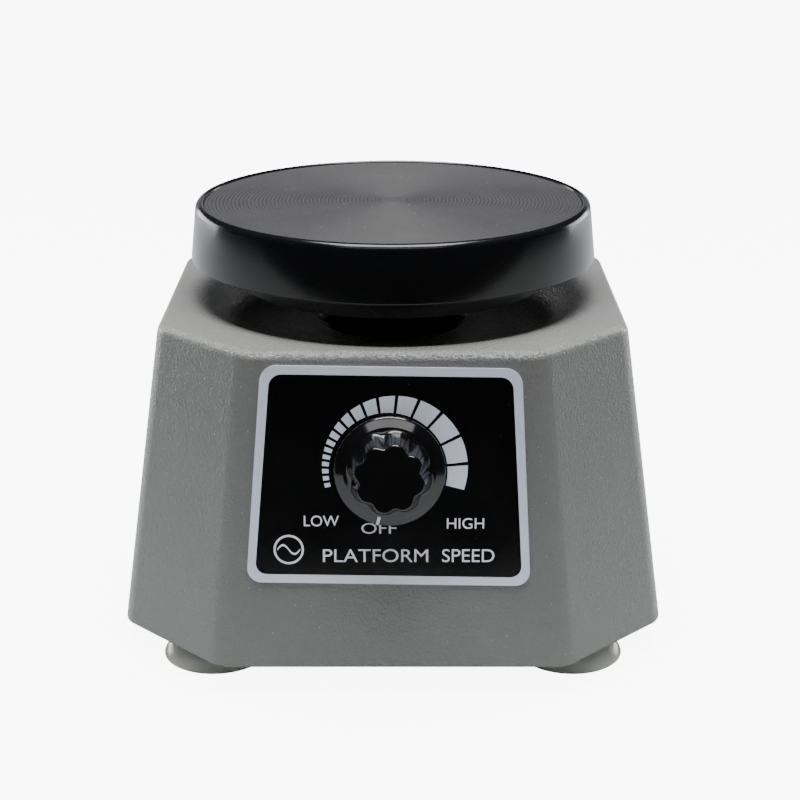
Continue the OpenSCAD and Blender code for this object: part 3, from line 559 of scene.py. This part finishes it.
# ---------------------------------------------------------------- Speed control
# A carbon-track control with a mains switch on its back. Its plated cans and bush, its brown
# paper-laminate wafer and its black switch case sit behind the panel.
control_metal = finish("control_plating", (0.60, 0.60, 0.57), (0.48, 0.48, 0.46), (0.24, 0.38), 0.0005,
                       0.000008, metal=1.0)
coat(control_metal, "pot_body", "pot_washer", "pot_nut", "pot_shaft")
laminate = finish("brown_laminate", (0.26, 0.13, 0.05), (0.17, 0.08, 0.03), (0.38, 0.52), 0.0006, 0.00001)
coat(laminate, "pot_wafer")
black_plastic = finish("black_nylon", (0.018, 0.018, 0.019), (0.011, 0.011, 0.012), (0.38, 0.52), 0.0004,
                       0.000015)
coat(black_plastic, "pot_switch", "triac", "cord_gland", "gland_nut")

# ---------------------------------------------------------------- Knob
# A glossy black phenolic knob with a wide skirt and eight finger flutes, pressed on the control's
# shaft and held by a grub screw. The pointer is a white line filled into the skirt.
knob_at = Vector((-0.0006, 0.0489))
pointer_angle = math.radians(-103)
skirt_r = 0.0132
skirt_round = 0.0007
skirt_round_z = 0.0021
under_edge = 0.0003
knob_under = 0.0011
grip_z = 0.0042
knob_top = 0.0107
grip_low_r = 0.0099
grip_top_r = 0.00835
grip_edge = 0.0005
grip_fillet = 0.0009
recess_r = 0.0074
recess_z = 0.0052
flutes = 8
flute_depth = 0.0013
flute_start = grip_z - 0.0004
flute_rise = 0.0012
flute_sharpness = 1.6
knob_place = front @ Matrix.Translation((*knob_at, 0)) @ Matrix.Rotation(pointer_angle, 4, "Z")
underside = [(0, recess_z), (recess_r, recess_z), (recess_r, knob_under),
             (skirt_r - under_edge, knob_under), (skirt_r, knob_under + under_edge)]
skirt_end = Vector((grip_low_r + grip_fillet, grip_z - 0.0004))
skirt_line = arc((skirt_r - skirt_round, skirt_round_z), skirt_round, 0, 62, 6)
skirt_line += [tuple(Vector(skirt_line[-1]).lerp(skirt_end, part)) for part in (0.1, 0.9, 1.0)]
fillet = arc((grip_low_r + grip_fillet, grip_z + 0.0005), grip_fillet, 240, 187, 5)
grip_line = arc((grip_top_r - grip_edge, knob_top - grip_edge), grip_edge, 10, 90, 5) + [(0, knob_top)]
knob_shape = bmesh.new()
turn_profile(knob_shape, underside + skirt_line + fillet + grip_line, 24 * flutes)
for point in knob_shape.verts:
    if point.co.xy.length > recess_r + near:
        turn = math.atan2(point.co.y, point.co.x)
        hollow = ((1 - math.cos(flutes * turn)) / 2) ** flute_sharpness
        reach = min(1, max(0, (point.co.z - flute_start) / flute_rise))
        squeeze = 1 - flute_depth / grip_low_r * hollow * reach
        point.co.x *= squeeze
        point.co.y *= squeeze
bmesh.ops.transform(knob_shape, matrix=knob_place, verts=knob_shape.verts)
phenolic = finish("black_phenolic", (0.0045, 0.0045, 0.005), (0.003, 0.003, 0.0035), (0.08, 0.14), 0.0007,
                  0.000006, dust=(0.06, 0.10))
knob_piece = add_piece("fluted_knob", knob_shape, phenolic, "knob", sharp=40)
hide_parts("knob")

white_fill = finish("white_fill", (0.75, 0.75, 0.72), (0.62, 0.62, 0.60), (0.40, 0.50), 0.0003, 0.000006)
pointer_w = 0.0007
pointer_lift = 0.00003
pointer_t = 0.00004
pointer = bmesh.new()
line_points = [pointer.verts.new((r + pointer_lift, -pointer_w / 2, z + pointer_lift)) for r, z in skirt_line]
line_edges = [pointer.edges.new(pair) for pair in zip(line_points, line_points[1:])]
swept = bmesh.ops.extrude_edge_only(pointer, edges=line_edges)["geom"]
bmesh.ops.translate(pointer, verts=points_of(swept), vec=(0, pointer_w, 0))
bmesh.ops.solidify(pointer, geom=list(pointer.faces), thickness=-pointer_t)
bmesh.ops.transform(pointer, matrix=knob_place, verts=pointer.verts)
add_piece("pointer_line", pointer, white_fill, "knob")

# ---------------------------------------------------------------- Magnet
# An E core of riveted silicon-steel laminations stands in a folded bracket. Its middle leg
# carries a moulded bobbin wound with enamelled copper wire under yellow tape.
sheet_t = 0.0005
wire_d = 0.0005
laminations = finish("laminated_steel", (0.30, 0.30, 0.31), (0.16, 0.16, 0.17), (0.36, 0.52), 0.0006,
                     0.00001, metal=0.9)


def add_lines(material, direction, pitch, depth):
    """Lays fine lines across an axis on a finish, as the edges of sheets or the turns of wire."""
    tree = material.node_tree
    shader = tree.nodes["Principled BSDF"]
    place = add_node(tree, "TexCoord").outputs["Object"]
    lines = add_node(tree, "TexWave", {"Vector": place, "Scale": 1 / pitch / 10, "Distortion": 0.3,
                                       "Detail": 1.0, "Detail Scale": 4.0},
                     wave_type="BANDS", bands_direction=direction)
    under = shader.inputs["Normal"].links[0].from_socket
    bump = add_node(tree, "Bump", {"Strength": 1.0, "Distance": depth, "Height": lines.outputs["Fac"],
                                   "Normal": under})
    tree.links.new(bump.outputs["Normal"], shader.inputs["Normal"])


add_lines(laminations, "Y", sheet_t, 0.00008)
coat(laminations, "core_stack", "armature")
rivet_steel = finish("rivet_steel", (0.46, 0.46, 0.46), (0.34, 0.34, 0.35), (0.30, 0.42), 0.0005, 0.00001,
                     metal=1.0)
coat(rivet_steel, "core_rivets")
bobbin = finish("bobbin_nylon", (0.62, 0.60, 0.52), (0.54, 0.52, 0.45), (0.40, 0.52), 0.0005, 0.00001)
coat(bobbin, "coil_bobbin")
copper = finish("enamelled_copper", (0.62, 0.22, 0.07), (0.44, 0.13, 0.04), (0.20, 0.34), 0.0005, 0.00001,
                metal=0.9)
add_lines(copper, "Z", wire_d, 0.00015)
coat(copper, "coil_winding", "choke")
tape = finish("yellow_tape", (0.72, 0.52, 0.08), (0.62, 0.43, 0.06), (0.28, 0.40), 0.0012, 0.00002)
coat(tape, "coil_tape")

# ---------------------------------------------------------------- Springs
# Two spring-steel leaves cross the body under the platform. Their ends are clamped on steel
# pillars and their middle is bolted to the platform's hub, so each half bends as it shakes.
spring_steel = finish("blued_spring_steel", (0.30, 0.34, 0.42), (0.22, 0.25, 0.32), (0.22, 0.36), 0.0006,
                      0.000008, metal=1.0)
leaf_low, leaf_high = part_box("leaf_springs")
leaf_t = 0.001
leaf_half_w = leaf_high.y
leaf_cuts = 20
for side, side_name in ((-1, "left"), (1, "right")):
    leaves = bmesh.new()
    for z in (leaf_low.z, leaf_high.z - leaf_t):
        made = bmesh.ops.create_cube(leaves, size=1.0)["verts"]
        bmesh.ops.scale(leaves, verts=made, vec=(leaf_high.x, 2 * leaf_half_w, leaf_t))
        bmesh.ops.translate(leaves, verts=made, vec=(side * leaf_high.x / 2, 0, z + leaf_t / 2))
    tips = [e for e in leaves.edges if all(abs(v.co.x) > leaf_high.x - near for v in e.verts)
            and abs(e.verts[0].co.z - e.verts[1].co.z) > leaf_t / 2]
    bmesh.ops.bevel(leaves, geom=tips, offset=leaf_half_w * 0.98, segments=10, profile=0.5,
                    affect="EDGES", material=-1)
    for i in range(1, leaf_cuts):
        cut_x = side * leaf_high.x * i / leaf_cuts
        bmesh.ops.bisect_plane(leaves, geom=list(leaves.verts) + list(leaves.edges) + list(leaves.faces),
                               plane_co=(cut_x, 0, 0), plane_no=(1, 0, 0))
    piece = add_piece("leaf_spring_" + side_name, leaves, spring_steel)
    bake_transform(piece)
    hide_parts("leaf_springs")

# ---------------------------------------------------------------- Platform
# A turned disc on a hub, black enamelled, with a moulded black rubber cap stretched over its
# edge. The cap's top is grooved in fine rings to grip tubes and flasks, and painted a dull grey there, which
# is painted sheen, with some dust.
black_enamel = finish("black_enamel", (0.014, 0.014, 0.015), (0.009, 0.009, 0.010), (0.24, 0.34), 0.0005,
                      0.00002)
coat(black_enamel, "platform_disc")
cap_low, cap_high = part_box("platform_cover")
disc_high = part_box("platform_disc")[1]
cap_r = 0.051
cap_low_r = cap_high.x
cap_edge_round = 0.0016
cap_lap = 0.0012
disc_r = disc_high.x + 0.0001
disc_top = disc_high.z + 0.00002
ridge_plane = cap_high.z - 0.0004
ridge_pitch = 0.00100
ridge_h = 0.00038
ridge_edge_r = 0.0487
ridge_foot = ridge_plane - ridge_h
ridge_shoulder = ridge_plane - 0.1 * ridge_h
boss_r = 0.0020
cap = bmesh.new()
inside = [(0, disc_top), (disc_r, disc_top), (disc_r, cap_low.z + cap_lap),
          (disc_r - cap_lap, cap_low.z + 0.0003), (disc_r - cap_lap / 2, cap_low.z)]
skirt = [(cap_low_r - 0.0004, cap_low.z), (cap_low_r - 0.0001, cap_low.z + 0.0001),
         (cap_low_r, cap_low.z + 0.0005)]
shoulder = arc((cap_r - cap_edge_round, cap_high.z - cap_edge_round), cap_edge_round, 5, 90, 8)
edge_step = [(cap_r - 0.0019, cap_high.z - 0.00005), (ridge_edge_r + 0.0002, ridge_plane)]
ridges = []
for i in range(int((ridge_edge_r - boss_r) / ridge_pitch)):
    r = ridge_edge_r - i * ridge_pitch
    ridges += [(r, ridge_foot), (r - 0.3 * ridge_pitch, ridge_shoulder),
               (r - 0.5 * ridge_pitch, ridge_plane), (r - 0.7 * ridge_pitch, ridge_shoulder)]
middle = [(boss_r * 0.8, ridge_plane - 0.0001), (boss_r * 0.6, ridge_foot), (0, ridge_foot)]
turn_profile(cap, inside + skirt + shoulder + edge_step + ridges + middle, 160)
rubber = finish("black_rubber", (0.0048, 0.005, 0.006), (0.0035, 0.0037, 0.0045), (0.15, 0.20), 0.0006,
                0.00001, dust=(0.15, 0.10))
rubber.node_tree.nodes["Principled BSDF"].inputs["Specular IOR Level"].default_value = 0.32
# The ridged top's grey is painted sheen, the glancing reflection of the bright wall behind, with real dust
# specks over it.
ridge_rubber_painted_sheen = finish("ridges_painted_sheen", (0.046, 0.045, 0.047), (0.034, 0.033, 0.035), (0.52, 0.64), 0.0005,
                     0.00006, dust=(0.40, 0.30))
ridge_rubber_painted_sheen.node_tree.nodes["Principled BSDF"].inputs["Specular IOR Level"].default_value = 0.22
cap_piece = add_piece("rubber_cap", cap, rubber, "platform", sharp=60)
cap_piece.data.materials.append(ridge_rubber_painted_sheen)
# The ridged top takes the grey of the painted sheen.
for face in cap_piece.data.polygons:
    if face.center.z > ridge_foot - ridge_h and face.center.xy.length < ridge_edge_r:
        face.material_index = 1
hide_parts("platform_cover")
coat(rubber, "dust_seal")

# ---------------------------------------------------------------- Speed board
# A small printed board on nylon standoffs holds the triac with its heat sink, the film capacitor,
# the resistors and the choke that set how hard the magnet pulls.
board_green = finish("solder_mask", (0.020, 0.16, 0.055), (0.012, 0.10, 0.035), (0.26, 0.38), 0.0011,
                     0.000012)
coat(board_green, "control_board")
nylon = finish("white_nylon", (0.70, 0.69, 0.64), (0.62, 0.61, 0.57), (0.38, 0.50), 0.0006, 0.00001)
coat(nylon, "board_standoffs", "terminal_block")
sink_metal = finish("sink_aluminium", (0.58, 0.59, 0.60), (0.46, 0.47, 0.48), (0.32, 0.46), 0.0005,
                    0.00001, metal=1.0)
coat(sink_metal, "heat_sink")
film_yellow = finish("film_yellow", (0.76, 0.50, 0.06), (0.66, 0.42, 0.05), (0.28, 0.40), 0.0008, 0.000012)
coat(film_yellow, "capacitor")
resistor_tan = finish("resistor_tan", (0.58, 0.42, 0.26), (0.50, 0.35, 0.21), (0.34, 0.46), 0.0004, 0.00001)
coat(resistor_tan, "resistors")

# ---------------------------------------------------------------- Wiring
# The mains terminals, the earth tag and the insulated leads between the coil, the board and the
# control. The cord itself isn't fitted: it would come in through the gland at the back.
brass = finish("terminal_brass", (0.72, 0.52, 0.22), (0.58, 0.40, 0.15), (0.22, 0.36), 0.0005, 0.000008,
               metal=1.0)
coat(brass, "terminal_screws", "earth_tag")
red_lead = finish("red_lead", (0.46, 0.03, 0.02), (0.36, 0.02, 0.015), (0.32, 0.44), 0.0006, 0.00001)
coat(red_lead, "coil_leads")
blue_lead = finish("blue_lead", (0.03, 0.08, 0.36), (0.02, 0.055, 0.26), (0.32, 0.44), 0.0006, 0.00001)
coat(blue_lead, "pot_leads")

# ---------------------------------------------------------------- Update
# The scene is brought up to date at the end.
bpy.context.view_layer.update()
